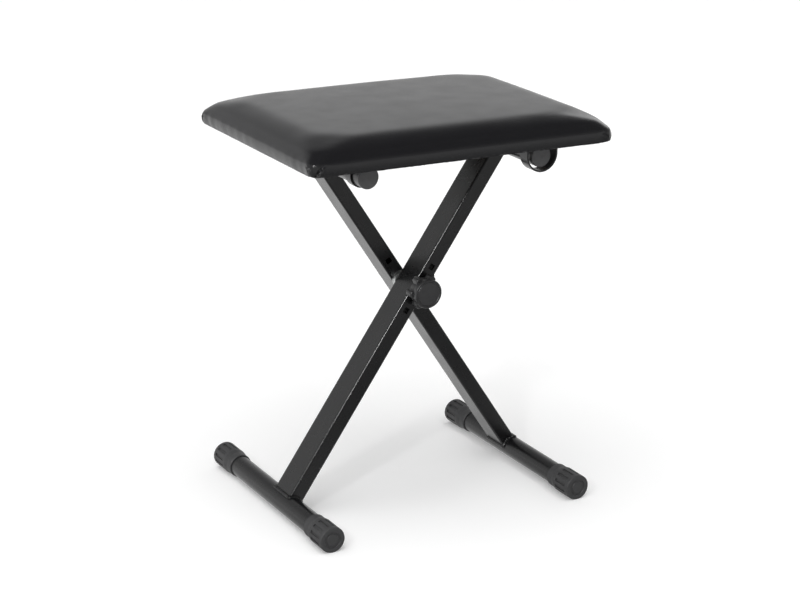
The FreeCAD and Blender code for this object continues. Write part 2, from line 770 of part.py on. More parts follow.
def cross_bolt():
    """Hexagon bolt through both legs, from the rear face to inside the knob."""
    body = new_body("cross_bolt")
    head, half_flats, short_of_front = 5.3, 6.5, 7
    span = plain(2 * LEG_FACE) + size("washer_thick") + size("knob_reach") - short_of_front
    pad(body, circles(body, "XY_Plane", [(size("bolt_radius"), 0, 0)]), span)
    corner = half_flats / math.cos(math.pi / 6)
    spots = []
    for side in range(6):
        swing = math.radians(60 * side + 30)
        spots.append((corner * math.cos(swing), corner * math.sin(swing)))
    pad(body, outline(body, "XY_Plane", spots, lift=-head), plain(head))
    place = Vector(0, LEG_FACE + number(size("washer_thick")), PIVOT_Z)
    body.Placement = Placement(place, FRONTWARD)
    return body


def washer(label, back_y):
    """Flat washer on the cross bolt, from back_y towards the knob."""
    body = new_body(label)
    rounds = [(size("washer_radius"), 0, 0), (size("bolt_radius") + 0.2, 0, 0)]
    pad(body, circles(body, "XY_Plane", rounds), size("washer_thick"))
    body.Placement = Placement(Vector(0, back_y, PIVOT_Z), FRONTWARD)
    return body


def knob_plate():
    """Flat plate on the front leg that the knob presses on."""
    body = new_body("knob_plate")
    corner = 2.5
    plate = rectangle(body, "XY_Plane", size("leg_width") - 1, size("plate_length"))
    pad(body, plate, size("plate_thick"))
    round_edges(body, corner, along_z)
    pocket(body, circles(body, "XY_Plane", [(size("bolt_radius") + 0.2, 0, 0)]))
    lean = Rotation(Vector(0, 1, 0), number(size("leg_angle")))
    body.Placement = Placement(Vector(0, -LEG_FACE, PIVOT_Z), lean * FRONTWARD)
    return body


def lock_knob():
    """Moulded knob: six grip lobes behind a round front with a raised rim."""
    body = new_body("lock_knob")
    rim, reach, bore = size("knob_cap_radius"), size("knob_reach"), size("insert_radius")
    seat = size("plate_thick") + size("washer_thick")
    foot, neck, cone, land, hub = 10, 12, 1.6, 3, 15.6
    under, brow, chamfer, bend, step = 8, 6.4, 0.6, 1.4, 0.8
    face = reach - size("knob_sink")
    corners = [
        (bore, seat), (foot, seat), (neck, seat + cone), (hub, seat + land), (hub, reach - under),
        (rim - chamfer, reach - brow), (rim, reach - brow + step), (rim, reach - bend),
        (rim - bend, reach), (rim - size("knob_rim") + chamfer, reach),
        (rim - size("knob_rim"), face), (bore, face),
    ]
    turned(body, corners, {7: bend})
    lobe_start, lobe_end = seat + 2.2, reach - 7
    lobe = circles(body, "XY_Plane", [(size("lobe_radius"), size("lobe_centre"), 0)], lift=lobe_start)
    grip = pad(body, lobe, lobe_end - lobe_start)
    ring_of(body, grip, size("knob_lobes"))
    body.Placement = Placement(Vector(0, -LEG_FACE, PIVOT_Z), FRONTWARD)
    return body


def knob_insert():
    """Threaded brass insert moulded into the knob, shown plain."""
    body = new_body("knob_insert")
    seat = size("plate_thick") + size("washer_thick")
    length = size("knob_reach") - size("knob_sink") - size("knob_cover") - seat
    rounds = [(size("insert_radius"), 0, 0), (size("bolt_radius") + 0.08, 0, 0)]
    pad(body, circles(body, "XY_Plane", rounds), length)
    body.Placement = Placement(Vector(0, -LEG_FACE - number(seat), PIVOT_Z), FRONTWARD)
    return body


def knob_cover():
    """Thin disc pressed into the front of the knob over the insert."""
    body = new_body("knob_cover")
    stem, flange, crown = size("insert_radius"), size("knob_cover"), 0.8
    disc = size("knob_cap_radius") - size("knob_rim")
    corners = [(0, 0), (stem, 0), (stem, flange), (disc, flange), (disc - 0.5, flange + 0.5),
               (0, flange + crown)]
    turned(body, corners)
    back = number(size("knob_reach") - size("knob_sink") - flange)
    body.Placement = Placement(Vector(0, -LEG_FACE - back, PIVOT_Z), FRONTWARD)
    return body


def build():
    """Make every sub-part."""
    lean = number(size("leg_angle"))
    leg_set("rear", LEG_MIDDLE, -lean, "right", "left")
    leg_set("front", -LEG_MIDDLE, lean, "left", "right")
    inner_face = number(size("leg_gap")) / 2
    clutch_disc("rear_clutch_disc", inner_face, FRONTWARD)
    clutch_disc("front_clutch_disc", -inner_face, REARWARD)
    cross_bolt()
    washer("bolt_washer", LEG_FACE + number(size("washer_thick")))
    knob_plate()
    washer("knob_washer", -LEG_FACE - number(size("plate_thick")))
    lock_knob()
    knob_insert()
    knob_cover()
    gap = size("running_gap")
    strap_set("left", -TOP_X, INNER_LINE, size("tube_radius") + gap, size("left_strap_thick"),
              size("left_strap_width"), 0)
    strap_set("right", TOP_X, OUTER_LINE, size("right_strap_radius"), size("right_strap_thick"),
              size("right_strap_width"), size("right_strap_raise"))
    slide_rail("slide_rail_front", -number(size("rail_line")), -1)
    slide_rail("slide_rail_rear", number(size("rail_line")), 1)
    seat_board()
    seat_cushion()
    rail_screws()
    cover_staples()


def write_parts():
    """Check every object and sub-part, then write one STEP file each."""
    doc.recompute()
    for item in doc.Objects:
        if "Invalid" in item.State or "Error" in item.State:
            raise ValueError(item.Label + " failed: " + str(item.State))
    os.makedirs("parts", exist_ok=True)
    for part in parts:
        shape = part.Shape
        if shape.isNull() or not shape.isValid() or not shape.Solids:
            raise ValueError(part.Label + " has no valid solid")
        shape.exportStep(os.path.join("parts", part.Label + ".step"))
        print(part.Label, len(shape.Solids), "solids", round(shape.Volume / 1000, 2), "cm3")
    print(len(parts), "sub-parts")


build()
write_parts()
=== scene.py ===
import math

import bpy
import numpy as np
from bpy.props import FloatProperty, FloatVectorProperty, IntProperty, PointerProperty
from bpy.types import Operator, Panel, PropertyGroup
from mathutils import Matrix, Vector, noise


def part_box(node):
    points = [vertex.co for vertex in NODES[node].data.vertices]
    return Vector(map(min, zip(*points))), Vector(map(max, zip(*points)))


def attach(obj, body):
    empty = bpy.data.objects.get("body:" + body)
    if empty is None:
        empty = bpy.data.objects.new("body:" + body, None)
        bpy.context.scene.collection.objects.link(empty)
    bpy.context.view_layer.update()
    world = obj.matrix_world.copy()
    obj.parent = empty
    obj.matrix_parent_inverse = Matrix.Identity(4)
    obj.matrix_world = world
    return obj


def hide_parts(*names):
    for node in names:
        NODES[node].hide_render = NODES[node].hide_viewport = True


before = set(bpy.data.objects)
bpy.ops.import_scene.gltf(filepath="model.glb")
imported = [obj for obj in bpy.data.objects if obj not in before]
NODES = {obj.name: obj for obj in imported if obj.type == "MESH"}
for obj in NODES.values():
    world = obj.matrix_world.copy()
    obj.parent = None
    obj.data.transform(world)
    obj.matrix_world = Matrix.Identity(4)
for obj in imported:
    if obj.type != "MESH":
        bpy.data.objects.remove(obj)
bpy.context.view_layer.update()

bl_info = {
    "name": "Folding keyboard bench",
    "version": (1, 0, 0),
    "blender": (4, 5, 0),
    "location": "View3D > Sidebar > Bench",
    "description": "Dresses the packed bench: padded vinyl seat, coated steel, rubber caps and knob",
    "category": "Object",
}

MM = 0.001

COATED = [
    "rear_leg_tube", "front_leg_tube", "right_foot_tube", "left_foot_tube", "left_top_tube",
    "right_top_tube", "knob_plate", "left_strap_front", "left_strap_rear", "right_strap_front",
    "right_strap_rear", "rear_pivot_bush", "front_pivot_bush",
]
PLATED = [
    "rear_clutch_disc", "front_clutch_disc", "cross_bolt", "bolt_washer", "knob_washer",
    "left_strap_bolts", "right_strap_bolts", "left_slide_nuts", "right_slide_nuts",
    "slide_rail_front", "slide_rail_rear", "rail_screws", "cover_staples",
]
CAPS = ["left_foot_cap_front", "left_foot_cap_rear", "right_foot_cap_front", "right_foot_cap_rear"]
PLUGS = ["left_top_plug_front", "left_top_plug_rear", "right_top_plug_front", "right_top_plug_rear"]


def linear(code):
    """Turn an sRGB hex value into a linear colour with alpha."""
    channels = []
    for start in (0, 2, 4):
        value = int(code[start:start + 2], 16) / 255
        channels.append(value / 12.92 if value <= 0.04045 else ((value + 0.055) / 1.055) ** 2.4)
    return (*channels, 1.0)


def colour(name, description, code):
    """A colour property with an sRGB hex value as its default."""
    return FloatVectorProperty(name=name, description=description, subtype="COLOR", size=4,
                               min=0, max=1, default=linear(code))


def length(name, description, millimetres):
    """A length property with its default in millimetres."""
    return FloatProperty(name=name, description=description, unit="LENGTH", precision=5,
                         default=millimetres * MM)


class BenchSizes(PropertyGroup):
    """Sizes that a user of the bench may change."""

    voxel: length("Voxel", "Mesh size of the cushion before the cloth is inflated", 5)
    inflate: length("Inflate", "Furthest that the cushion swells", 2.0)
    tuck: length("Tuck", "How far the lower edge is drawn in", 3.0)
    widest: length("Widest line", "Height of the widest line over the lower edge", 10)
    roll: length("Roll", "Width of the rolled top edge", 30)
    crown: length("Crown", "Rise of the middle of the top, before it is inflated", 2.5)
    skin: length("Vinyl", "Thickness of the vinyl", 0.8)
    hem: length("Hem", "Vinyl folded under the board", 25)
    wrinkle: length("Wrinkle", "Depth of the wrinkles in the sides", 1.0)
    pleat: length("Pleat", "Depth of the folds at the lower corners", 1.5)
    lip: length("Lip", "How far the padded rim hangs under the board", 2.5)
    grain: length("Vinyl grain", "Width of one cell of the embossed grain", 0.9)
    peel: length("Orange peel", "Width of the waves in the powder coat", 1.6)
    bead: length("Weld bead", "Radius of the weld beads", 2.5)
    ripple: length("Weld ripple", "Spacing of the ripples along a bead", 2.5)
    lobes: IntProperty(name="Lobes", description="Grip lobes round the knob", default=6, min=3)
    lobe_radius: length("Lobe radius", "Radius of each grip lobe", 4.6)
    lobe_centre: length("Lobe centre", "Knob axis to the middle of a lobe", 16.6)
    lens: FloatProperty(name="Lens", description="Focal length of the camera on a 36 mm sensor",
                        unit="CAMERA", default=95.22)


class BenchColours(PropertyGroup):
    """Colours of the bench's finishes."""

    vinyl: colour("Vinyl", "Dyed black vinyl, very slightly blue", "1a1a1c")
    coat: colour("Powder coat", "Black polyester powder coat", "151516")
    rubber: colour("Rubber", "Moulded grey-black rubber", "3a3a3b")
    plastic: colour("Plastic", "Moulded black nylon", "303031")
    plug: colour("End plug", "Moulded dark grey polyethylene", "4c4c4d")
    zinc: colour("Zinc", "Zinc-plated steel", "c3c5c4")
    plywood: colour("Plywood", "Dark-stained face veneer", "4a3c2e")
    veneer: colour("Veneer", "Dark lines of the veneer", "33291f")
    foam: colour("Foam", "Cut polyurethane foam", "d9cfa6")
    brass: colour("Brass", "Turned brass insert", "b99a4d")
    floor: colour("Floor", "Pale studio floor", "ececec")


def sizes():
    """The bench's size properties."""
    return bpy.context.scene.bench_sizes


def colours():
    """The bench's colour properties."""
    return bpy.context.scene.bench_colours


# Selecting and editing

def pick(*objects):
    """Select these objects only, the last one active."""
    if bpy.context.object and bpy.context.object.mode != "OBJECT":
        bpy.ops.object.mode_set(mode="OBJECT")
    bpy.ops.object.select_all(action="DESELECT")
    for thing in objects:
        thing.select_set(True)
        bpy.context.view_layer.objects.active = thing


def edit(piece, mode):
    """Go into edit mode on one piece, with vertices, edges or faces and nothing selected."""
    pick(piece)
    bpy.ops.object.mode_set(mode="EDIT")
    bpy.ops.mesh.select_mode(type=mode)
    bpy.ops.mesh.select_all(action="DESELECT")


def choose(piece, kind, wanted):
    """Select the vertices, edges or faces of the edited piece that wanted() picks."""
    bpy.ops.object.mode_set(mode="OBJECT")
    items = getattr(piece.data, kind)
    flags = [bool(wanted(item)) for item in items]
    items.foreach_set("select", flags)
    if not any(flags):
        raise RuntimeError("nothing to select on " + piece.name)
    bpy.ops.object.mode_set(mode="EDIT")


def done(piece, smooth_angle=35):
    """Leave edit mode, weld loose joints, turn faces outwards and shade the piece."""
    pick(piece)
    bpy.ops.object.mode_set(mode="EDIT")
    bpy.ops.mesh.select_all(action="SELECT")
    bpy.ops.mesh.remove_doubles(threshold=1e-6)
    bpy.ops.mesh.normals_make_consistent(inside=False)
    bpy.ops.object.mode_set(mode="OBJECT")
    bpy.ops.object.transform_apply(location=True, rotation=True, scale=True)
    bpy.ops.object.shade_smooth_by_angle(angle=math.radians(smooth_angle))


def finish_piece(piece, body, slot, material, *nodes):
    """Give a piece its material and body, and hide the CAD nodes that it stands for; the slot is not
    used.
    """
    piece.data.materials.clear()
    piece.data.materials.append(material)
    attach(piece, body)
    if nodes:
        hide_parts(*nodes)


def copy_of(source, name):
    """A free copy of an object with its own mesh."""
    mesh = source.data.copy()
    mesh.name = name
    piece = bpy.data.objects.new(name, mesh)
    bpy.context.scene.collection.objects.link(piece)
    return piece


def points(mesh):
    """The vertices of a mesh as rows of an array."""
    flat = np.empty(len(mesh.vertices) * 3)
    mesh.vertices.foreach_get("co", flat)
    return flat.reshape(-1, 3)


def set_points(mesh, rows):
    """Move the vertices of a mesh."""
    mesh.vertices.foreach_set("co", rows.ravel())
    mesh.update()


def normals(mesh):
    """The vertex normals of a mesh as rows of an array."""
    flat = np.empty(len(mesh.vertices) * 3)
    mesh.vertex_normals.foreach_get("vector", flat)
    return flat.reshape(-1, 3)


def ramp(values, low, high):
    """0 below low, 1 above high and a smooth step between."""
    share = np.clip((values - low) / (high - low), 0, 1)
    return share * share * (3 - 2 * share)


def middle(node):
    """The middle of a CAD node's box."""
    low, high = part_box(node)
    return (Vector(low) + Vector(high)) / 2


# Materials

MOTTLE_RANGE = 0.3, 0.7  # nearly all of the soft noise lies between these


def add_node(tree, kind, values=None, links=None, **settings):
    """Add a shader node with its settings, socket values and incoming links."""
    node = tree.nodes.new(kind)
    for key, value in settings.items():
        setattr(node, key, value)
    for key, value in (values or {}).items():
        node.inputs[key].default_value = value
    for key, socket in (links or {}).items():
        tree.links.new(socket, node.inputs[key])
    return node


def new_material(name, base, **sockets):
    """A material with its Principled shader set: (material, node tree, shader, place)."""
    material = bpy.data.materials.new(name)
    material.use_nodes = True
    tree = material.node_tree
    shader = tree.nodes["Principled BSDF"]
    shader.inputs["Base Color"].default_value = base
    for key, value in sockets.items():
        shader.inputs[key].default_value = value
    place = add_node(tree, "ShaderNodeTexCoord").outputs["Object"]
    return material, tree, shader, place


def compute(tree, operation, *terms):
    """A socket with the result of one operation on sockets and numbers."""
    node = add_node(tree, "ShaderNodeMath", operation=operation)
    for term, socket in zip(terms, node.inputs):
        if isinstance(term, bpy.types.NodeSocket):
            tree.links.new(term, socket)
        else:
            socket.default_value = term
    return node.outputs["Value"]


def soft_noise(tree, place, width, detail):
    """A socket with soft noise between 0 and 1, in patches of one width."""
    return add_node(tree, "ShaderNodeTexNoise", {"Scale": 1 / width, "Detail": detail},
                    {"Vector": place}).outputs["Fac"]


def spread(tree, value, start, end, low, high):
    """A socket that goes from low to high while a value goes from start to end."""
    numbers = {"From Min": start, "From Max": end, "To Min": low, "To Max": high}
    return add_node(tree, "ShaderNodeMapRange", numbers, {"Value": value}).outputs["Result"]


def mottle(tree, shader, place, width, low, high):
    """Vary the shader's roughness between two values in soft patches of one width."""
    rough = spread(tree, soft_noise(tree, place, width, detail=3), *MOTTLE_RANGE, low, high)
    tree.links.new(rough, shader.inputs["Roughness"])


def emboss(tree, shader, height, strength, depth):
    """Raise the shader's surface by a pattern, depth metres at full strength."""
    bump = add_node(tree, "ShaderNodeBump", {"Strength": strength, "Distance": depth},
                    {"Height": height})
    tree.links.new(bump.outputs["Normal"], shader.inputs["Normal"])


def black_vinyl():
    """Embossed PVC leathercloth: a satin plastic skin with a fine pebble grain."""
    material, tree, shader, place = new_material("pvc_leathercloth", colours().vinyl, IOR=1.52)
    mottle(tree, shader, place, width=30 * MM, low=0.22, high=0.27)
    cells = add_node(tree, "ShaderNodeTexVoronoi", {"Scale": 1 / sizes().grain}, {"Vector": place},
                     feature="SMOOTH_F1")
    creases = soft_noise(tree, place, 4 * sizes().grain, detail=4)
    height = compute(tree, "ADD", cells.outputs["Distance"], creases)
    emboss(tree, shader, height, strength=0.22, depth=0.12 * MM)
    return material


def powder_coat():
    """Black polyester powder coat on steel: half gloss with a slight orange peel."""
    material, tree, shader, place = new_material("powder_coated_steel", colours().coat, IOR=1.5)
    mottle(tree, shader, place, width=20 * MM, low=0.25, high=0.31)
    peel = soft_noise(tree, place, sizes().peel, detail=2)
    emboss(tree, shader, peel, strength=0.09, depth=0.1 * MM)
    return material


def zinc_plate():
    """Zinc-plated steel: dull grey metal with faint cloudy patches."""
    material, tree, shader, place = new_material("zinc_plated_steel", colours().zinc, Metallic=1.0)
    mottle(tree, shader, place, width=6 * MM, low=0.28, high=0.46)
    return material


def moulded_rubber():
    """Moulded rubber: matt dark grey with a fine dusty surface."""
    material, tree, shader, place = new_material("moulded_rubber", colours().rubber, IOR=1.52)
    mottle(tree, shader, place, width=8 * MM, low=0.52, high=0.66)
    dust = soft_noise(tree, place, 0.8 * MM, detail=3)
    emboss(tree, shader, dust, strength=0.25, depth=0.12 * MM)
    return material


def moulded_nylon():
    """Injection-moulded nylon: black, satin, with a fine spark-eroded grain."""
    material, tree, shader, place = new_material("moulded_nylon", colours().plastic, IOR=1.53)
    mottle(tree, shader, place, width=10 * MM, low=0.33, high=0.43)
    grain = soft_noise(tree, place, 0.6 * MM, detail=2)
    emboss(tree, shader, grain, strength=0.2, depth=0.06 * MM)
    return material


def moulded_polyethylene():
    """Injection-moulded polyethylene end plugs: dark grey, waxy and softly scuffed."""
    material, tree, shader, place = new_material("moulded_polyethylene", colours().plug, IOR=1.51)
    mottle(tree, shader, place, width=7 * MM, low=0.44, high=0.58)
    scuffs = soft_noise(tree, place, 1.0 * MM, detail=3)
    emboss(tree, shader, scuffs, strength=0.2, depth=0.08 * MM)
    return material


def stained_plywood():
    """Dark-stained plywood: rotary-cut veneer with long soft grain along the board."""
    material, tree, shader, place = new_material("stained_plywood", colours().plywood, Roughness=0.72)
    along = add_node(tree, "ShaderNodeMapping", {"Scale": (9, 130, 130)}, {"Vector": place})
    grain = add_node(tree, "ShaderNodeTexNoise", {"Scale": 1, "Detail": 6, "Distortion": 0.6},
                     {"Vector": along.outputs["Vector"]})
    tones = add_node(tree, "ShaderNodeMix", {}, {"Factor": grain.outputs["Fac"]}, data_type="RGBA")
    for name, shade in (("A", colours().plywood), ("B", colours().veneer)):
        socket = [item for item in tones.inputs if item.name == name and item.type == "RGBA"][0]
        socket.default_value = shade
    result = [item for item in tones.outputs if item.type == "RGBA"][0]
    tree.links.new(result, shader.inputs["Base Color"])
    emboss(tree, shader, grain.outputs["Fac"], strength=0.3, depth=0.2 * MM)
    return material


def turned_brass():
    """Turned brass: yellow metal with a fine lathe finish."""
    material, tree, shader, place = new_material("turned_brass", colours().brass, Metallic=1.0)
    mottle(tree, shader, place, width=4 * MM, low=0.24, high=0.4)
    return material


def cut_foam():
    """Cut polyurethane foam: cream, matt and open-celled."""
    material, tree, shader, place = new_material("polyurethane_foam", colours().foam, Roughness=0.95)
    cells = add_node(tree, "ShaderNodeTexVoronoi", {"Scale": 1 / (1.2 * MM)}, {"Vector": place})
    emboss(tree, shader, cells.outputs["Distance"], strength=0.6, depth=0.5 * MM)
    return material


def dress(nodes, material):
    """Give carried-over CAD nodes a better material in their slots."""
    for name in nodes:
        for slot in NODES[name].material_slots:
            slot.material = material


# Seat

# Heights over the cushion's lower edge, and sizes that shape the form before it is inflated
SEAT_HIGH = 31.5 * MM
FULLNESS = 2.25  # 1 would make the roll a flat bevel, 2 a round one
LOW_CORNER, MIDDLE_CORNER, HIGH_CORNER = 8 * MM, 14 * MM, 62 * MM
SIDE_SHARES = (0, 0.3, 0.65)  # rings below the widest line, as shares of its height
ROLL_STEPS = 9
CORNER_POINTS = 12
HELD_HIGH = 8 * MM
SIDE_ENDS, ROLL_STARTS = 12 * MM, 20 * MM
DOME_STARTS, DOME_FULL = 20 * MM, 28 * MM
CLOTH_FRAMES = 20
EVEN_OUT = 24  # passes that spread the swelling over the neighbours
TINY = 1e-9  # keeps a division away from zero


def profile(lift):
    """Inset from the cushion's widest line and corner radius, at a height over its lower edge."""
    tuck, widest, reach = sizes().tuck, sizes().widest, sizes().roll
    below = np.clip(lift / widest, 0, 1)
    share = np.clip((lift - widest) / (SEAT_HIGH - widest), 0, 1)
    roll = reach * (1 - (1 - share ** FULLNESS) ** (1 / FULLNESS))
    inset = tuck * (1 - below) ** 2 + roll
    corner = LOW_CORNER + (MIDDLE_CORNER - LOW_CORNER) * below
    corner = corner + (HIGH_CORNER - MIDDLE_CORNER) * roll / reach
    return inset, corner


def seat_ring(half, lift, floor):
    """Points of the cushion's outline at one height, evenly turned about each corner."""
    inset, corner = (float(value) for value in profile(lift))
    ring = []
    for quarter, (side_x, side_y) in enumerate(((1, 1), (-1, 1), (-1, -1), (1, -1))):
        for step in range(CORNER_POINTS):
            swing = math.pi / 2 * (quarter + step / (CORNER_POINTS - 1))
            ring.append((side_x * (half[0] - inset - corner) + corner * math.cos(swing),
                         side_y * (half[1] - inset - corner) + corner * math.sin(swing),
                         floor + lift))
    return ring


def cushion_form(half, floor):
    """The cushion as one closed block: tucked in below, widest low down, rolled over at the top."""
    widest = sizes().widest
    lifts = [share * widest for share in SIDE_SHARES]
    for step in range(ROLL_STEPS + 1):
        lifts.append(widest + (SEAT_HIGH - widest) * math.sin(math.pi / 2 * step / ROLL_STEPS))
    around = 4 * CORNER_POINTS
    corners = [spot for lift in lifts for spot in seat_ring(half, lift, floor)]
    faces = []
    for level in range(len(lifts) - 1):
        low, high = level * around, (level + 1) * around
        for index in range(around):
            after = (index + 1) % around
            faces.append((low + index, low + after, high + after, high + index))
    faces.append(tuple(reversed(range(around))))
    faces.append(tuple(range(len(corners) - around, len(corners))))
    mesh = bpy.data.meshes.new("cushion_form")
    mesh.from_pydata(corners, [], faces)
    piece = bpy.data.objects.new("cushion_form", mesh)
    bpy.context.scene.collection.objects.link(piece)
    pick(piece)
    remesh = piece.modifiers.new("Voxels", "REMESH")
    remesh.mode = "VOXEL"
    remesh.voxel_size = sizes().voxel
    bpy.ops.object.modifier_apply(modifier=remesh.name)
    return piece


def push_out(rows, half, floor):
    """Bring side points that the smoothing drew in back out to the cushion's outline."""
    inset, corner = profile(rows[:, 2] - floor)
    core = np.stack([half[0] - inset - corner, half[1] - inset - corner], axis=1)
    base = np.clip(rows[:, :2], -core, core)
    arm = rows[:, :2] - base
    far = np.maximum(np.linalg.norm(arm, axis=1), TINY)
    low_part = 1 - ramp(rows[:, 2] - floor, SIDE_ENDS, ROLL_STARTS)
    want = np.where(far > corner / 2, np.maximum(far, corner), far)
    share = 1 + (want / far - 1) * low_part
    rows[:, :2] = base + arm * share[:, None]


def blow_up(piece, floor):
    """Inflate a form as sewn cloth held at its lower edge, and return its swollen points."""
    rest = points(piece.data)
    held = piece.vertex_groups.new(name="held")
    pinned = [int(index) for index in np.nonzero(rest[:, 2] < floor + HELD_HIGH)[0]]
    held.add(pinned, 1.0, "REPLACE")
    cloth = piece.modifiers.new("Cloth", "CLOTH")
    cloth.settings.quality = 6
    cloth.settings.mass = 0.4
    cloth.settings.tension_stiffness = 20
    cloth.settings.compression_stiffness = 20
    cloth.settings.bending_stiffness = 8
    cloth.settings.use_pressure = True
    cloth.settings.uniform_pressure_force = 4
    cloth.settings.vertex_group_mass = held.name
    cloth.settings.effector_weights.gravity = 0
    scene = bpy.context.scene
    for step in range(1, CLOTH_FRAMES + 1):
        scene.frame_set(step)
    graph = bpy.context.evaluated_depsgraph_get()
    swollen = points(piece.evaluated_get(graph).to_mesh())
    piece.modifiers.remove(cloth)
    scene.frame_set(1)
    return swollen


def evened(move, mesh):
    """The moves of a mesh's vertices, spread over their neighbours so that no pucker is left."""
    ends = np.empty(2 * len(mesh.edges), dtype=int)
    mesh.edges.foreach_get("vertices", ends)
    ends = ends.reshape(-1, 2)
    count = np.bincount(ends.ravel(), minlength=len(move))[:, None]
    for step in range(EVEN_OUT):
        total = np.zeros_like(move)
        np.add.at(total, ends[:, 0], move[ends[:, 1]])
        np.add.at(total, ends[:, 1], move[ends[:, 0]])
        move = 0.5 * move + 0.5 * total / count
    return move


def inflate(piece, floor, half):
    """Swell the cushion as cloth does, within a limit, and dome its top slightly."""
    rest = points(piece.data)
    move = evened(blow_up(piece, floor) - rest, piece.data)
    far = np.linalg.norm(move, axis=1, keepdims=True)
    limit = sizes().inflate
    move *= limit * np.tanh(far / limit) / np.maximum(far, TINY)
    across = np.clip(1 - (rest[:, :2] / half) ** 2, 0, 1).prod(axis=1)
    move[:, 2] += sizes().crown * across * ramp(rest[:, 2] - floor, DOME_STARTS, DOME_FULL)
    set_points(piece.data, rest + move)


def relax(piece, times):
    """Smooth the steps that the voxels left."""
    edit(piece, "VERT")
    bpy.ops.mesh.select_all(action="SELECT")
    bpy.ops.mesh.vertices_smooth(factor=0.5, repeat=times)
    bpy.ops.object.mode_set(mode="OBJECT")


def divide(piece, levels):
    """Apply one subdivision surface."""
    pick(piece)
    surface = piece.modifiers.new("Rounder", "SUBSURF")
    surface.levels = levels
    surface.render_levels = levels
    bpy.ops.object.modifier_apply(modifier=surface.name)


def cut_below(piece, height, fill):
    """Cut off what lies under a height, open or filled."""
    edit(piece, "FACE")
    bpy.ops.mesh.select_all(action="SELECT")
    bpy.ops.mesh.bisect(plane_co=(0, 0, height), plane_no=(0, 0, 1), clear_inner=True,
                        clear_outer=False, use_fill=fill)
    bpy.ops.object.mode_set(mode="OBJECT")


# Where the cover is divided finely, wrinkled and folded: gaps are from a lower corner
CORNER_REACH, CORNER_HIGH = 24 * MM, 17 * MM
REACH_STEP, HIGH_STEP = 0.8, 0.9
WRINKLES_FULL, WRINKLES_END = 13 * MM, 20 * MM
CORNER_NEAR, CORNER_FAR = 14 * MM, 70 * MM
FINE_WAVES, BROAD_WAVES, GATHERS = (75, 75, 9), (19, 19, 6), (210, 210, 0)  # waves in a metre
GATHERED_HIGH = 6 * MM
FINE_SHARE, BROAD_SHARE, GATHER_SHARE = 0.55, 0.5, 0.3
SIDE_DEPTH, CORNER_DEPTH = 0.6, 0.9  # share of the wrinkles' depth everywhere, and more at corners
SIDE_FACING, FOLD_FACING = (0.6, 0.95), (0.5, 0.9)  # from no crease to a full one, 1 is upright
FOLDS = ((1.2 * MM, 0.5, 1.0), (-2.6 * MM, -0.35, 0.7))  # start beside the corner, slope, depth
FOLD_CORNER = 9 * MM
FOLD_FULL, FOLD_ENDS = 7 * MM, 15 * MM
FOLD_NEAR, FOLD_FAR = 12 * MM, 20 * MM
GROOVE_WIDE, RIDGE_AWAY, RIDGE_WIDE = 0.7 * MM, 1.8 * MM, 1.3 * MM
RIDGE_SHARE = 1.1  # the ridge's height as a share of the groove's depth
LIP_LOW, LIP_HIGH = -2 * MM, 9 * MM


def divide_corners(piece, floor, half):
    """Divide the faces round the lower corners twice, for the folds."""
    edit(piece, "FACE")
    reach, high = CORNER_REACH, CORNER_HIGH

    def near_corner(face):
        spot = face.center
        gap = math.hypot(abs(spot.x) - half[0], abs(spot.y) - half[1])
        return gap < reach and spot.z < floor + high

    for cut in range(2):
        choose(piece, "polygons", near_corner)
        bpy.ops.mesh.subdivide(number_cuts=1)
        reach, high = reach * REACH_STEP, high * HIGH_STEP
    bpy.ops.object.mode_set(mode="OBJECT")


def waves(rows, scale, shift):
    """Soft noise between -1 and 1 at each point, for a number of waves in a metre each way."""
    return np.array([noise.noise(Vector(row)) for row in rows * np.array(scale) + np.array(shift)])


def wrinkles(rows, lift, upright, gap):
    """Depth of the side's upright wrinkles and of the gathers at its lower edge."""
    band = ramp(upright, *SIDE_FACING) * (1 - ramp(lift, WRINKLES_FULL, WRINKLES_END))
    near = 1 - ramp(gap, CORNER_NEAR, CORNER_FAR)
    mixed = FINE_SHARE * waves(rows, FINE_WAVES, (0, 0, 0))
    mixed = mixed + BROAD_SHARE * waves(rows, BROAD_WAVES, (5, 0, 0))
    gathered = GATHER_SHARE * waves(rows, GATHERS, (0, 0, 3)) * (1 - ramp(lift, 0, GATHERED_HIGH))
    return sizes().wrinkle * (mixed * (SIDE_DEPTH + CORNER_DEPTH * near) + gathered) * band


def folds(turn, lift, upright, gap):
    """Depth of two folds that run up from each lower corner, the front one over the other."""
    depth = np.zeros(len(lift))
    fade = (1 - ramp(lift, FOLD_FULL, FOLD_ENDS)) * (1 - ramp(gap, FOLD_NEAR, FOLD_FAR))
    for start, slope, share in FOLDS:
        line = turn * FOLD_CORNER - (start + slope * lift)
        groove = np.exp(-(line / GROOVE_WIDE) ** 2)
        ridge = np.exp(-((line - RIDGE_AWAY) / RIDGE_WIDE) ** 2)
        crease = RIDGE_SHARE * ridge - groove
        depth += sizes().pleat * share * crease * fade * ramp(upright, *FOLD_FACING)
    return depth


def crease_sides(piece, floor, half):
    """Wrinkle the sides, fold the lower corners and let the padded rim hang under the board."""
    divide_corners(piece, floor, half)
    mesh = piece.data
    rows, facing = points(mesh), normals(mesh)
    lift = rows[:, 2] - floor
    outwards = facing * np.array([1, 1, 0])
    upright = np.linalg.norm(outwards, axis=1)
    outwards /= np.maximum(upright, TINY)[:, None]
    sign = np.sign(rows[:, :2])
    gap = np.linalg.norm(rows[:, :2] - sign * half, axis=1)
    turn = np.arctan2(facing[:, 1] * sign[:, 1], facing[:, 0] * sign[:, 0]) - math.pi / 4
    depth = wrinkles(rows, lift, upright, gap) + folds(turn, lift, upright, gap)
    rows += outwards * depth[:, None]
    rows[:, 2] -= sizes().lip * (1 - ramp(lift, LIP_LOW, LIP_HIGH))
    set_points(mesh, rows)


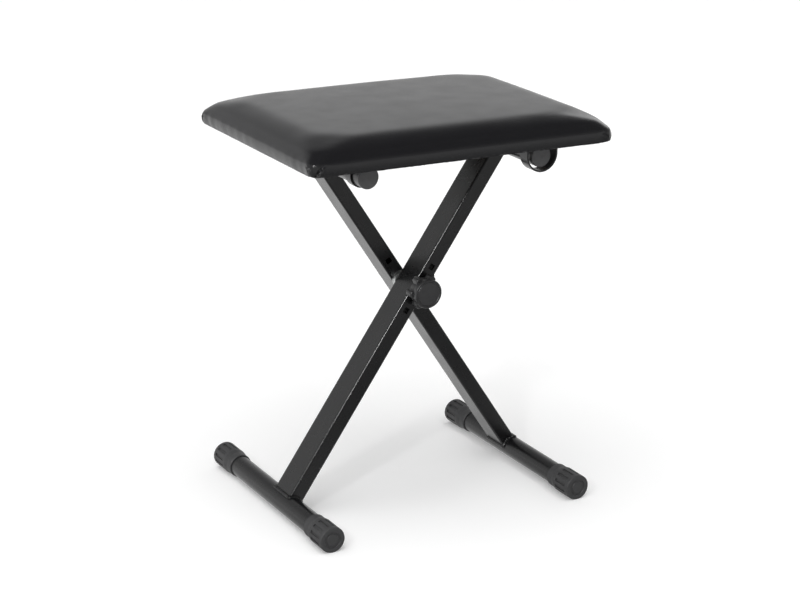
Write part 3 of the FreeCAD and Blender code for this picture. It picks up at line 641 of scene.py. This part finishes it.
def hem_rings():
    """Rings of the hem from the rim inwards: how far inside the outline, and how high."""
    lip = sizes().lip
    rim = [(0.5 * MM, -0.95 * lip), (1.6 * MM, -lip), (3.2 * MM, -0.8 * lip)]
    return rim + [(6.5 * MM, 0.08 * MM), (14 * MM, 0.1 * MM), (sizes().hem, 0.12 * MM)]


CHANNEL_RIM, CHANNEL_HALF = 5 * MM, 15.5 * MM
HEM_TOP = 0.3 * MM


def fold_hem(piece, floor, half):
    """Turn the lower edge of the cover under the board, open over the rails' channels."""
    mesh = piece.data
    for inset, rise in hem_rings():
        edit(piece, "EDGE")
        bpy.ops.mesh.select_non_manifold(extend=False, use_boundary=True, use_wire=False,
                                         use_multi_face=False, use_non_contiguous=False,
                                         use_verts=False)
        bpy.ops.mesh.extrude_edges_move()
        bpy.ops.object.mode_set(mode="OBJECT")
        rows = points(mesh)
        chosen = np.zeros(len(rows), dtype=bool)
        mesh.vertices.foreach_get("select", chosen)
        limit = half - inset
        rows[chosen, :2] = np.clip(rows[chosen, :2], -limit, limit)
        rows[chosen, 2] = floor + rise
        set_points(mesh, rows)
    channels = [middle("slide_rail_front").y, middle("slide_rail_rear").y]

    def over_channel(face):
        spot = face.center
        under = spot.z < floor + HEM_TOP and abs(spot.x) < half[0] - CHANNEL_RIM
        return under and any(abs(spot.y - line) < CHANNEL_HALF for line in channels)

    edit(piece, "FACE")
    choose(piece, "polygons", over_channel)
    bpy.ops.mesh.delete(type="FACE")
    bpy.ops.object.mode_set(mode="OBJECT")


def thicken(piece, thick):
    """Give an open skin its thickness, inwards."""
    pick(piece)
    wall = piece.modifiers.new("Wall", "SOLIDIFY")
    wall.thickness = thick
    wall.offset = -1
    bpy.ops.object.modifier_apply(modifier=wall.name)


CORE_GAPS = np.array([1.5, 1.5, 1.2]) * MM  # the foam core's gap to the cover, along X, Y and Z
RELAX = 4  # smoothing passes over the voxels' steps
BOARD_GAP, LOWEST, RIM_CUT = 0.2 * MM, -0.4 * MM, 0.7 * MM


class BENCH_OT_seat(Operator):
    """Make the foam core and the vinyl cover of the seat"""

    bl_idname = "bench.seat"
    bl_label = "Padded seat"

    def execute(self, context):
        low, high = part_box("seat_cover")
        floor = low[2]
        half = np.array([(high[0] - low[0]) / 2, (high[1] - low[1]) / 2])
        form = cushion_form(half, floor)
        relax(form, RELAX)
        inflate(form, floor, half)

        core = copy_of(form, "seat_foam_core")
        rows = points(core.data)
        centre = np.array([0, 0, floor])
        shrink = CORE_GAPS / np.array([half[0], half[1], high[2] - floor])
        set_points(core.data, centre + (rows - centre) * (1 - shrink))
        cut_below(core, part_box("seat_board")[1][2] + BOARD_GAP, True)
        done(core)
        finish_piece(core, "seat", "foam", cut_foam(), "seat_foam")

        cover = copy_of(form, "seat_vinyl_cover")
        divide(cover, 1)
        rows = points(cover.data)
        rows[:, 2] = np.maximum(rows[:, 2], floor + LOWEST)
        push_out(rows, half, floor)
        set_points(cover.data, rows)
        cut_below(cover, floor + RIM_CUT, False)
        crease_sides(cover, floor, half)
        fold_hem(cover, floor, half - sizes().tuck)
        thicken(cover, sizes().skin)
        done(cover, smooth_angle=50)
        finish_piece(cover, "seat", "vinyl", black_vinyl(), "seat_cover")
        bpy.data.objects.remove(form)
        dress(["seat_board"], stained_plywood())
        return {"FINISHED"}


class BENCH_OT_steel(Operator):
    """Finish the coated and the plated steel"""

    bl_idname = "bench.steel"
    bl_label = "Steel finishes"

    def execute(self, context):
        dress(COATED, powder_coat())
        dress(PLATED, zinc_plate())
        dress(["knob_insert"], turned_brass())
        return {"FINISHED"}


# Welds

BEAD_STEPS, BEAD_SIDES = 192, 10
BEAD_LEAST, BEAD_CREST, BEAD_UNEVEN = 0.8, 0.26, 0.08  # shares of the bead's radius
BEAD_WAVES = 400  # uneven waves in a metre


def bead_path(tube, half_x, half_y, steps):
    """Points round the foot of a leg on a round tube along Y, the leg rising along Z."""
    bend = math.asin(half_x / tube)
    spots = []
    for side in (1, -1):
        for step in range(steps):
            spots.append(Vector((side * half_x, side * half_y * (2 * step / steps - 1), 0)))
        for step in range(steps):
            swing = side * bend * (1 - 2 * step / steps)
            spots.append(Vector((tube * math.sin(swing), side * half_y, 0)))
    for spot in spots:
        spot.z = math.sqrt(tube ** 2 - spot.x ** 2)
    return spots


def weld(name, place, tube, half_x, half_y):
    """One rippled bead, made from a ring that is laid along the joint."""
    around, section = BEAD_STEPS, BEAD_SIDES
    radius, ripple = sizes().bead, sizes().ripple
    bpy.ops.object.select_all(action="DESELECT")
    bpy.ops.mesh.primitive_torus_add(major_segments=around, minor_segments=section,
                                     major_radius=half_y, minor_radius=radius)
    piece = bpy.context.object
    piece.name = name
    track = bead_path(tube, half_x, half_y, around // 4)
    travelled = 0
    rows = points(piece.data).reshape(around, section, 3)
    for index in range(around):
        here, after, before = track[index], track[(index + 1) % around], track[index - 1]
        ahead = (after - before).normalized()
        outwards = Vector((here.x, here.y, 0)).normalized() + Vector((0, 0, 1))
        outwards = (outwards - ahead * outwards.dot(ahead)).normalized()
        across = ahead.cross(outwards)
        wave = (travelled / ripple) % 1
        swell = BEAD_LEAST + BEAD_CREST * math.sqrt(1 - wave)
        swell += BEAD_UNEVEN * noise.noise(here * BEAD_WAVES)
        for ring in range(section):
            swing = 2 * math.pi * ring / section
            offset = across * math.cos(swing) + outwards * math.sin(swing)
            rows[index, ring] = here + offset * radius * swell
        travelled += (after - here).length
    set_points(piece.data, rows.reshape(-1, 3))
    piece.data.transform(place)
    return piece


class BENCH_OT_welds(Operator):
    """Make the rippled weld beads where the legs meet the round tubes"""

    bl_idname = "bench.welds"
    bl_label = "Weld beads"

    def execute(self, context):
        coat = powder_coat()
        low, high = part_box("left_foot_tube")
        tube = (high[2] - low[2]) / 2
        for leg, foot, top in (("front", "left", "right"), ("rear", "right", "left")):
            below, above = middle(foot + "_foot_tube"), middle(top + "_top_tube")
            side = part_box(leg + "_leg_tube")
            half_y = (side[1][1] - side[0][1]) / 2
            half_x = half_y / 2
            line = middle(leg + "_leg_tube").y
            lean = math.atan2(above.x - below.x, above.z - below.z)
            beads = []
            for end, turn in ((below, lean), (above, lean + math.pi)):
                place = Matrix.Translation((end.x, line, end.z)) @ Matrix.Rotation(turn, 4, "Y")
                beads.append(weld(leg + "_weld", place, tube, half_x, half_y))
            pick(*beads)
            bpy.ops.object.join()
            piece = bpy.context.object
            piece.name = leg + "_leg_weld_beads"
            done(piece, smooth_angle=60)
            finish_piece(piece, leg + "_leg", "black_steel", coat, leg + "_leg_welds")
        return {"FINISHED"}


# Knob: places are measured from its front, or from its back where they say so

GRIP_FRONT, GRIP_BACK = 6.6 * MM, 2.0 * MM  # the second from the back
HUB, HOLLOW_BLEND, HOLLOW_SHARE = 15.2 * MM, 1.5 * MM, 0.3
GRIP_START_RADIUS, GRIP_FRONT_ROUND, GRIP_BACK_ROUND = 15.6 * MM, 1.5 * MM, 1.8 * MM
NECK_RADIUS, NECK_LONG, NECK_ROUND = 11.6 * MM, 2.4 * MM, 1.0 * MM
FACE_RADIUS, FACE_BACK, FACE_BACK_ROUND, FACE_ROUND = 17.5 * MM, 7.4 * MM, 1.0 * MM, 1.5 * MM
DISH = ((2.9 * MM, 0), (0.5 * MM, -1.1 * MM), (1.2 * MM, -0.1 * MM))  # insets and depths
OUTER_RIM = 14 * MM
ON_PLANE = 1e-6


def lobed(angle, hub):
    """Radius of the knob's grip at an angle from a lobe's middle."""
    pitch = 2 * math.pi / sizes().lobes
    away = (angle + pitch / 2) % pitch - pitch / 2
    centre, radius = sizes().lobe_centre, sizes().lobe_radius
    side = centre * math.sin(away)
    reach = hub
    if abs(side) < radius:
        reach = centre * math.cos(away) + math.sqrt(radius ** 2 - side ** 2)
    blended = math.log(math.exp(reach / HOLLOW_BLEND) + math.exp(hub / HOLLOW_BLEND))
    return HOLLOW_BLEND * (blended - math.log(2) * HOLLOW_SHARE)


def disc(name, sides, radius, front, back, centre):
    """A round block along Y between two places, ready to be shaped."""
    bpy.ops.object.select_all(action="DESELECT")
    bpy.ops.mesh.primitive_cylinder_add(vertices=sides, radius=radius, depth=back - front,
                                        location=(centre.x, (front + back) / 2, centre.z),
                                        rotation=(math.pi / 2, 0, 0))
    piece = bpy.context.object
    piece.name = name
    bpy.ops.object.transform_apply(location=True, rotation=True, scale=True)
    return piece


def round_rim(piece, place, width, segments):
    """Bevel the rim edges that lie at one place along Y."""
    edit(piece, "EDGE")
    mesh = piece.data

    def on_rim(edge):
        return all(abs(mesh.vertices[index].co.y - place) < ON_PLANE for index in edge.vertices)

    choose(piece, "edges", on_rim)
    bpy.ops.mesh.bevel(offset=width, segments=segments, profile=0.5, affect="EDGES")
    bpy.ops.object.mode_set(mode="OBJECT")


class BENCH_OT_knob(Operator):
    """Make the lobed clamp knob with its round front"""

    bl_idname = "bench.knob"
    bl_label = "Clamp knob"

    def execute(self, context):
        nylon = moulded_nylon()
        low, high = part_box("lock_knob")
        axis = middle("cross_bolt")
        front, back = low[1], high[1]
        grip = disc("knob_grip", 180, GRIP_START_RADIUS, front + GRIP_FRONT, back - GRIP_BACK, axis)
        rows = points(grip.data)
        for row in rows:
            angle = math.atan2(row[2] - axis.z, row[0] - axis.x)
            reach = lobed(angle, HUB)
            row[0], row[2] = axis.x + reach * math.cos(angle), axis.z + reach * math.sin(angle)
        set_points(grip.data, rows)
        round_rim(grip, front + GRIP_FRONT, GRIP_FRONT_ROUND, 4)
        round_rim(grip, back - GRIP_BACK, GRIP_BACK_ROUND, 4)
        neck = disc("knob_neck", 96, NECK_RADIUS, back - NECK_LONG, back, axis)
        round_rim(neck, back, NECK_ROUND, 2)
        face = disc("knob_front", 128, FACE_RADIUS, front, front + FACE_BACK, axis)
        edit(face, "FACE")
        choose(face, "polygons", lambda item: item.normal.y < -0.9)
        for width, depth in DISH:
            bpy.ops.mesh.inset(thickness=width, depth=depth)
        bpy.ops.object.mode_set(mode="OBJECT")
        round_rim(face, front + FACE_BACK, FACE_BACK_ROUND, 3)
        edit(face, "EDGE")
        mesh = face.data

        def outer_rim(edge):
            ends = [mesh.vertices[index].co for index in edge.vertices]
            reach = min(math.hypot(end.x - axis.x, end.z - axis.z) for end in ends)
            return all(abs(end.y - front) < ON_PLANE for end in ends) and reach > OUTER_RIM

        choose(face, "edges", outer_rim)
        bpy.ops.mesh.bevel(offset=FACE_ROUND, segments=5, profile=0.5, affect="EDGES")
        bpy.ops.object.mode_set(mode="OBJECT")
        pick(grip, neck, face)
        bpy.ops.object.join()
        knob = bpy.context.object
        knob.name = "lobed_knob"
        done(knob, smooth_angle=40)
        finish_piece(knob, "knob", "moulded_plastic", nylon, "lock_knob")
        dress(["knob_cover"], nylon)
        dress(PLUGS, moulded_polyethylene())
        return {"FINISHED"}


class BENCH_OT_caps(Operator):
    """Finish the rubber foot caps"""

    bl_idname = "bench.caps"
    bl_label = "Foot caps"

    def execute(self, context):
        dress(CAPS, moulded_rubber())
        return {"FINISHED"}


# Stage

CAMERA_AZIMUTH, CAMERA_ELEVATION, CAMERA_ROLL = -29.596, 18.157, 1.031
CAMERA_DISTANCE = 2.5159
CAMERA_TARGET = Vector((-0.002, 0, 0.23416))
# Light levels, of which 1 shows white
AMBIENT = 0.35
FLOOR_GLOW = 0.2
# Reflections see a pale wall low down and a dark ceiling, by how far a ray points upwards
WALL_TOP, CEILING = 0.34, 0.8
WALL_LEVEL, CEILING_LEVEL = 0.72, 0.06
# and all of it darker towards the front, by how far a ray points backwards
FRONT_RAY, BACK_RAY, FRONT_SHARE = -0.5, 0.4, 0.35
# Reflections see the floor brighter behind the bench, and again far in front of it:
# two ramps along Y in metres, each from and to a place, then from and to a level
FLOOR_RAMPS = ((-0.35, 0.3, 0.2, 1.1), (-0.4, -1.1, 0, 0.4))
FLOOR_SIZE, FLOOR_DROP = 24, 0.2 * MM
SKY_LIGHT, SKY_ANGLE = 2.1, math.radians(70)
SKY_PLACE, LEFT_PLACE, RIGHT_PLACE = (-0.6, -0.5, 3), (-2.0, -1.65, 1.6), (2.0, 1.2, 1.3)
LAMP_AIM = (0, 0, 0.25)


def seen_directly(tree):
    """Two sockets: 1 for the camera's rays, and 1 for those of glossy or clear surfaces, else 0."""
    rays = add_node(tree, "ShaderNodeLightPath").outputs
    shiny = compute(tree, "MAXIMUM", rays["Is Glossy Ray"], rays["Is Transmission Ray"])
    return rays["Is Camera Ray"], shiny


def studio_world():
    """White behind the bench, a low pale wall in reflections with a dark ceiling, soft fill light."""
    world = bpy.data.worlds.new("studio")
    bpy.context.scene.world = world
    world.use_nodes = True
    tree = world.node_tree
    tree.nodes.clear()
    camera, shiny = seen_directly(tree)
    ray = add_node(tree, "ShaderNodeTexCoord").outputs["Generated"]
    split = add_node(tree, "ShaderNodeSeparateXYZ", {}, {0: ray})
    wall = spread(tree, split.outputs["Z"], WALL_TOP, CEILING, WALL_LEVEL, CEILING_LEVEL)
    side = spread(tree, split.outputs["Y"], FRONT_RAY, BACK_RAY, FRONT_SHARE, 1)
    gap = compute(tree, "SUBTRACT", compute(tree, "MULTIPLY", wall, side), AMBIENT)
    level = compute(tree, "MAXIMUM", compute(tree, "MULTIPLY_ADD", gap, shiny, AMBIENT), camera)
    background = add_node(tree, "ShaderNodeBackground", {"Color": (1, 1, 1, 1)}, {"Strength": level})
    add_node(tree, "ShaderNodeOutputWorld", {}, {"Surface": background.outputs[0]})


def studio_floor():
    """Matt pale floor that keeps shadows, near white to the camera, at its own level in reflections."""
    bpy.ops.object.select_all(action="DESELECT")
    bpy.ops.mesh.primitive_plane_add(size=FLOOR_SIZE, location=(0, 0, -FLOOR_DROP))
    floor = bpy.context.object
    floor.name = "studio_floor"
    material = bpy.data.materials.new("pale_floor")
    material.use_nodes = True
    tree = material.node_tree
    shader = tree.nodes["Principled BSDF"]
    shader.inputs["Base Color"].default_value = colours().floor
    shader.inputs["Roughness"].default_value = 0.9
    shader.inputs["Specular IOR Level"].default_value = 0.1
    camera, shiny = seen_directly(tree)
    glow = compute(tree, "MULTIPLY", camera, FLOOR_GLOW)
    light = add_node(tree, "ShaderNodeEmission", {"Color": (1, 1, 1, 1)}, {"Strength": glow})
    both = add_node(tree, "ShaderNodeAddShader", {}, {0: shader.outputs[0], 1: light.outputs[0]})
    place = add_node(tree, "ShaderNodeTexCoord").outputs["Object"]
    split = add_node(tree, "ShaderNodeSeparateXYZ", {}, {0: place})
    parts = [spread(tree, split.outputs["Y"], *numbers) for numbers in FLOOR_RAMPS]
    level = compute(tree, "ADD", *parts)
    sheen = add_node(tree, "ShaderNodeEmission", {"Color": (1, 1, 1, 1)}, {"Strength": level})
    choice = add_node(tree, "ShaderNodeMixShader", {}, {0: shiny, 1: both.outputs[0],
                                                        2: sheen.outputs[0]})
    tree.links.new(choice.outputs[0], tree.nodes["Material Output"].inputs["Surface"])
    floor.data.materials.append(material)


def lamp(name, kind, place, energy, glossy, **settings):
    """A lamp at a place, pointed at the bench, and seen in reflections or not."""
    light = bpy.data.lights.new(name, kind)
    light.energy = energy
    for key, value in settings.items():
        setattr(light, key, value)
    thing = bpy.data.objects.new(name, light)
    bpy.context.scene.collection.objects.link(thing)
    thing.location = place
    aim = Vector(LAMP_AIM) - Vector(place)
    thing.rotation_euler = aim.to_track_quat("-Z", "Y").to_euler()
    thing.visible_glossy = glossy
    return thing


def photo_camera():
    """The camera as the photograph's, with no shift."""
    turn, rise, roll = (math.radians(value) for value in
                        (CAMERA_AZIMUTH, CAMERA_ELEVATION, CAMERA_ROLL))
    back = Vector((math.sin(turn) * math.cos(rise), -math.cos(turn) * math.cos(rise), math.sin(rise)))
    level = Vector((math.cos(turn), math.sin(turn), 0))
    upright = back.cross(level)
    right = level * math.cos(roll) + upright * math.sin(roll)
    above = back.cross(right)
    data = bpy.data.cameras.new("camera")
    data.sensor_width = 36
    data.lens = sizes().lens
    camera = bpy.data.objects.new("camera", data)
    bpy.context.scene.collection.objects.link(camera)
    place = Matrix((right, above, back)).transposed().to_4x4()
    place.translation = CAMERA_TARGET + back * CAMERA_DISTANCE
    camera.matrix_world = place
    bpy.context.scene.camera = camera


class BENCH_OT_stage(Operator):
    """Set the floor, the soft studio light and the camera"""

    bl_idname = "bench.stage"
    bl_label = "Studio"

    def execute(self, context):
        studio_world()
        studio_floor()
        lamp("ceiling_light", "SUN", SKY_PLACE, energy=SKY_LIGHT, glossy=False, angle=SKY_ANGLE)
        lamp("left_softbox", "AREA", LEFT_PLACE, energy=14, glossy=False, size=0.2)
        edge = lamp("edge_light", "AREA", LEFT_PLACE, energy=60, glossy=True, size=0.3)
        edge.visible_diffuse = False
        lamp("right_softbox", "AREA", RIGHT_PLACE, energy=4, glossy=True, size=1.0)
        photo_camera()
        context.scene.view_settings.view_transform = "Standard"
        return {"FINISHED"}


class BENCH_PT_panel(Panel):
    """The bench's pieces and sizes in the sidebar"""

    bl_label = "Folding keyboard bench"
    bl_idname = "BENCH_PT_panel"
    bl_space_type = "VIEW_3D"
    bl_region_type = "UI"
    bl_category = "Bench"

    def draw(self, context):
        for operator in OPERATORS:
            self.layout.operator(operator.bl_idname)
        for group in (context.scene.bench_sizes, context.scene.bench_colours):
            box = self.layout.box()
            for name in group.bl_rna.properties.keys():
                if name not in {"rna_type", "name"}:
                    box.prop(group, name)


OPERATORS = (BENCH_OT_seat, BENCH_OT_steel, BENCH_OT_welds, BENCH_OT_knob, BENCH_OT_caps,
             BENCH_OT_stage)
CLASSES = (BenchSizes, BenchColours, *OPERATORS, BENCH_PT_panel)


def register():
    """Register the classes and the scene's properties."""
    for item in CLASSES:
        bpy.utils.register_class(item)
    bpy.types.Scene.bench_sizes = PointerProperty(type=BenchSizes)
    bpy.types.Scene.bench_colours = PointerProperty(type=BenchColours)


def unregister():
    """Remove the properties and the classes."""
    del bpy.types.Scene.bench_sizes
    del bpy.types.Scene.bench_colours
    for item in reversed(CLASSES):
        bpy.utils.unregister_class(item)


def main():
    """Build the dressed bench."""
    register()
    bpy.ops.bench.seat()
    bpy.ops.bench.steel()
    bpy.ops.bench.welds()
    bpy.ops.bench.knob()
    bpy.ops.bench.caps()
    bpy.ops.bench.stage()


if __name__ == "__main__":
    main()
